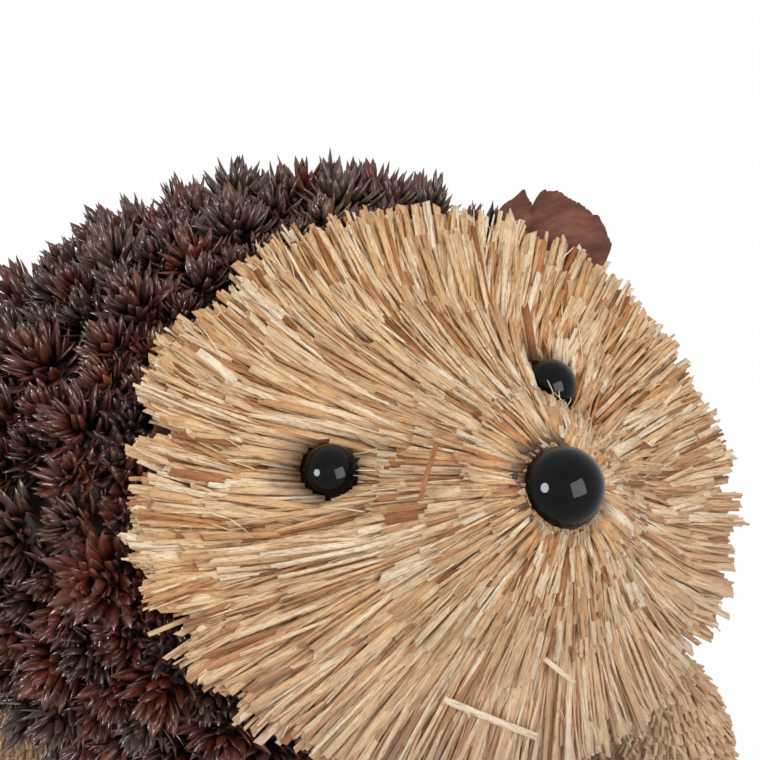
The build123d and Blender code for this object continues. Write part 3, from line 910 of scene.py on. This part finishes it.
def grow_cone(points, tones, casts, base, normal, size, height, tone):
    """Adds the scales of one cone, standing on the body, with its own cast from red to grey."""
    cast = chance.uniform(0.5, 1.0) if chance.random() < GREY_SHARE else chance.uniform(0, 0.25)
    normal = (normal + Vector([chance.gauss(0, 0.13) for _ in range(3)])).normalized()
    turned = normal.to_track_quat("Z", "Y").to_matrix()
    x, y, z = (SCALE_CORNERS[:, i : i + 1] for i in range(3))
    for azimuth, tilt, ring, level, length, width in scales_of_cone(size, height):
        out = turned @ Vector((math.cos(azimuth), math.sin(azimuth), 0))
        side = normal.cross(out)
        run = out * math.sin(tilt) + normal * math.cos(tilt)
        up = run.cross(side)
        root = base + out * ring + normal * level
        cup = z * width + chance.uniform(0.4, 1.6) * MM * x**2 + 0.5 * width * y**2
        shape = x * np.array(run * length) + y * np.array(side * width) + cup * np.array(up)
        points.append(np.array(root) + shape)
        tones.append(min(max(tone + chance.gauss(0, 0.14), 0), 1))
        casts.append(cast)


def behind_nose(point):
    """How far a point lies behind the nose, along the head's axis."""
    return -(point - NOSE).dot(AHEAD)


def clear_place(base, normal, height):
    """Whether a small cone can stand here: behind the head, off the feet and above the floor."""
    reach = base + normal * (CONE_REACH * height)
    if behind_nose(base) < HEAD_BACK + 0.5 * MM or behind_nose(reach) < HEAD_BACK - 4 * MM:
        return False
    if reach.z < FLOOR_ROOM:
        return False
    for sole, _, top, _ in FEET.values():
        for hand in (1, -1):
            offset = base + normal * (8 * MM) - Vector((sole[0] * hand, sole[1], sole[2])) * MM
            if offset.z < top * MM + 5 * MM and math.hypot(offset.x, offset.y) < FOOT_R + 4 * MM:
                return False
    return True


def filler_places(taken):
    """Places and heights for small cones between the large ones, leaning over the ruff's back beside it."""
    found = []
    for i in range(SMALL_TRIES):
        rise = 1 - (2 * i + 1) / SMALL_TRIES
        flat = math.sqrt(1 - rise**2)
        turn = i * GOLDEN_TURN
        normal = Vector((flat * math.cos(turn), flat * math.sin(turn), rise))
        base = body_point(normal)
        large_room, small_room = LARGE_ROOM, SMALL_ROOM
        if behind_nose(base) < HEAD_BACK + RUFF_BELT:
            normal = (normal + AHEAD * RUFF_LEAN).normalized()
            large_room, small_room = RUFF_LARGE_ROOM, RUFF_SMALL_ROOM
        height = chance.uniform(*SMALL_HEIGHTS)
        if abs(normal.x) > SKIRT_SIDE and SKIRT_FALLS[0] < normal.z < SKIRT_FALLS[1]:
            height *= SKIRT_GROWTH
        if all((base - other).length > large_room for other in taken):
            if all((base - other).length > small_room for other, _, _ in found):
                fits = [share for share in (height, 0.75 * height, 0.5) if clear_place(base, normal, share)]
                if fits:
                    found.append((base, normal, fits[0]))
    return found


def seed_cones():
    """The prickly back: a cone on each cone of the solids, and small ones in the gaps between them."""
    bases = []
    for row in range(1, CONE_ROWS + 1):
        for middle in solid_middles(f"cone_row_{row}"):
            normal = body_normal(middle)
            bases.append((row, body_point(normal), normal))
    rows = {row: ([], [], []) for row in range(1, CONE_ROWS + 1)}
    for row, base, normal in bases:
        size, height = chance.uniform(*LARGE_SIZES), chance.uniform(*LARGE_HEIGHTS)
        grow_cone(*rows[row], base, normal, size, height, chance.gauss(LARGE_TONE, CONE_TONE_SPREAD))
    for base, normal, height in filler_places([base for _, base, _ in bases]):
        row = min(bases, key=lambda other: (other[1] - base).length)[0]
        size = chance.uniform(*SMALL_SIZES)
        grow_cone(*rows[row], base, normal, size, height, chance.gauss(SMALL_TONE, CONE_TONE_SPREAD))
    for row, (points, tones, casts) in rows.items():
        points = np.array(points)
        run = np.tile(SCALE_CORNERS[:, 0], (len(points), 1))
        tones, casts = (np.array(values)[:, None] + 0 * run for values in (tones, casts))
        marks = {"tone": tones, "cast": casts, "run": run}
        piece = copies(f"seed_cones_{row}", points, SCALE_FACES, marks)
        settle(piece, SCALE, "seed_cone", f"cone_row_{row}")


# Feet

def foot_radius(height, top):
    """The dome of a foot, at a height above its sole."""
    return FOOT_R * math.sqrt(max(1 - (height / top) ** 2, 0))


def straw_foot(name, sole, hip, top, sleeve):
    """A brush of straw that fans out and down from the leg to a dome, cut level, with a sleeve up the leg."""
    up = Vector((0, 0, 1))
    leg = (hip - sole).normalized()
    sheaf = Sheaf()

    def lay(start, end, normal):
        if end.z < SOLE_ROOM:
            end = start + (end - start) * (start.z - SOLE_ROOM) / (start.z - end.z)
        if (end - start).length > SHORTEST_FOOT_STRAW:
            width, shade = cut_sliver(FOOT_TONE)
            sheaf.lay(
                start, end, normal, width, chance.uniform(*SLIVER_THICK), shade,
                bow=chance.gauss(0.6, 0.4) * MM, roll=chance.gauss(0, 0.5),
                taper=chance.uniform(*SLIVER_TAPER))

    for level in np.arange(SOLE_ROOM, top - CROWN_ROOM, FOOT_STEP):
        count = max(8, int(2 * math.pi * foot_radius(level, top) / FOOT_PITCH))
        for i in range(count):
            angle = 2 * math.pi * (i + chance.random()) / count
            out = Vector((math.cos(angle), math.sin(angle), 0))
            low = level + chance.gauss(0, 0.6) * MM
            high = min(low + chance.uniform(*FOOT_FALLS), top - CROWN_ROOM)
            start = sole + up * high + out * (chance.uniform(0.25, 0.5) * foot_radius(high, top))
            end = sole + up * low + out * (foot_radius(low, top) + chance.gauss(0.3, 0.6) * MM)
            lay(start, end, (out + up).normalized())
    for i in range(SLEEVE_STRAWS):
        angle = 2 * math.pi * (i + chance.random()) / SLEEVE_STRAWS
        out = Vector((math.cos(angle), math.sin(angle), 0))
        low = chance.uniform(0.35, 0.8) * top
        start = sole + leg * (sleeve - chance.uniform(0, 8) * MM) + out * (chance.uniform(0.6, 1) * SLEEVE_R)
        lay(start, sole + up * low + out * (foot_radius(low, top) + chance.gauss(0, 0.6) * MM), out)
    piece = sheaf.piece("tuft_" + name)
    settle(piece, STRAW, "straw", name)


def straw_feet():
    for end, (sole, hip, top, sleeve) in FEET.items():
        for side, hand in (("left", 1), ("right", -1)):
            mirror = Vector((hand, 1, 1)) * MM
            name = f"foot_{end}_{side}"
            straw_foot(name, Vector(sole) * mirror, Vector(hip) * mirror, top * MM, sleeve * MM)


# Studio

def studio():
    """The white floor and the white surround, which gives less light than it shows."""
    bpy.ops.object.select_all(action="DESELECT")
    bpy.ops.mesh.primitive_plane_add(size=FLOOR_SIZE)
    floor = bpy.context.object
    floor.name = "floor"
    material = bpy.data.materials.new("white_floor")
    material.use_nodes = True
    tree = material.node_tree
    tree.nodes.clear()
    paint = add_node(tree, "ShaderNodeBsdfDiffuse", {"Color": FLOOR_PAINT})
    glow = add_node(tree, "ShaderNodeEmission", {"Color": WHITE, "Strength": 1.0})
    rays = seen_rays(tree)
    share = add_node(tree, "ShaderNodeMath", {0: rays, 1: FLOOR_GLOW}, operation="MULTIPLY").outputs[0]
    both = add_node(tree, "ShaderNodeMixShader", {0: share, 1: paint.outputs[0], 2: glow.outputs[0]})
    output = add_node(tree, "ShaderNodeOutputMaterial", {"Surface": both.outputs[0]})
    output.is_active_output = True
    floor.data.materials.append(material)

    world = bpy.data.worlds.new("studio")
    bpy.context.scene.world = world
    world.use_nodes = True
    tree = world.node_tree
    background = tree.nodes["Background"]
    background.inputs["Color"].default_value = WHITE
    tree.links.new(ranged(tree, seen_rays(tree), 0, 1, SURROUND_LIGHT, 1.0), background.inputs["Strength"])


def seen_rays(tree):
    """One for rays that show the background: straight from the camera, mirrored or through glass."""
    path = add_node(tree, "ShaderNodeLightPath")
    straight, mirrored, through = (
        path.outputs[name] for name in ("Is Camera Ray", "Is Glossy Ray", "Is Transmission Ray"))
    either = add_node(tree, "ShaderNodeMath", {0: straight, 1: mirrored}, operation="MAXIMUM").outputs[0]
    return add_node(tree, "ShaderNodeMath", {0: either, 1: through}, operation="MAXIMUM").outputs[0]


def view_axes():
    """The camera's own axes: back towards it, to its right and up."""
    a, e = VIEW_AZIMUTH, VIEW_ELEVATION
    back = Vector((math.sin(a) * math.cos(e), -math.cos(a) * math.cos(e), math.sin(e)))
    right = Vector((math.cos(a), math.sin(a), 0))
    return back, right, back.cross(right)


def camera():
    back, right, up = view_axes()
    eye = bpy.data.cameras.new("camera")
    eye.lens = LENS
    eye.sensor_width = 36
    eye.clip_start = 0.05
    eye.clip_end = 50
    holder = bpy.data.objects.new("camera", eye)
    holder.location = NOSE + back * VIEW_DISTANCE - right * VIEW_SIDE + up * VIEW_RISE
    holder.rotation_euler = Matrix((right, up, back)).transposed().to_euler()
    bpy.context.scene.collection.objects.link(holder)
    bpy.context.scene.camera = holder


def softbox(name, shape, direction, distance, size, power, mirrored=True, lights=True):
    """A lamp that looks at the head from a direction given in the view's own axes."""
    back, right, up = view_axes()
    away = (right * direction[0] + up * direction[1] + back * direction[2]).normalized()
    lamp = bpy.data.lights.new(name, "AREA")
    lamp.shape = shape
    lamp.size = size
    lamp.energy = power
    holder = bpy.data.objects.new(name, lamp)
    holder.location = NOSE + away * distance
    holder.rotation_euler = away.to_track_quat("Z", "Y").to_euler()
    holder.visible_glossy = mirrored
    holder.visible_diffuse = lights
    bpy.context.scene.collection.objects.link(holder)


straw_face()
bead("nose_ball", "nose_bead", NOSE, NOSE_R, NOSE_SHANK)
for eye_name, eye_centre in EYES.items():
    bead(eye_name + "_ball", eye_name, eye_centre, EYE_R, EYE_SHANK)
ear("ear_left", EAR_TURN, EAR_REACHES["ear_left"], 1)
ear("ear_right", math.pi - EAR_TURN, EAR_REACHES["ear_right"], -1)
seed_cones()
straw_feet()
for node in ("head_core", "body_core"):
    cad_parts[node].data.materials.clear()
    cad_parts[node].data.materials.append(FOAM)
for end in FEET:
    for side in ("left", "right"):
        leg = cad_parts[f"leg_{end}_{side}"]
        leg.data.materials.clear()
        leg.data.materials.append(DOWEL)
studio()
camera()
softbox("key_light", "DISK", (-0.8, 0.05, 0.6), distance=1.1, size=0.34, power=2.5, mirrored=False)
softbox("key_glint", "DISK", (-0.8, 0.02, 0.6), distance=1.0, size=0.42, power=18.5, lights=False)
softbox("fill_light", "SQUARE", (0.66, 0, 0.75), distance=1.2, size=0.7, power=5.8, mirrored=False)
softbox("fill_glint", "SQUARE", (0.66, 0, 0.75), distance=1.1, size=0.8, power=19, lights=False)
softbox("top_light", "DISK", (0.1, 0.9, 0.4), distance=1.3, size=1.0, power=8.2, mirrored=False)
bpy.context.scene.view_settings.view_transform = "Standard"
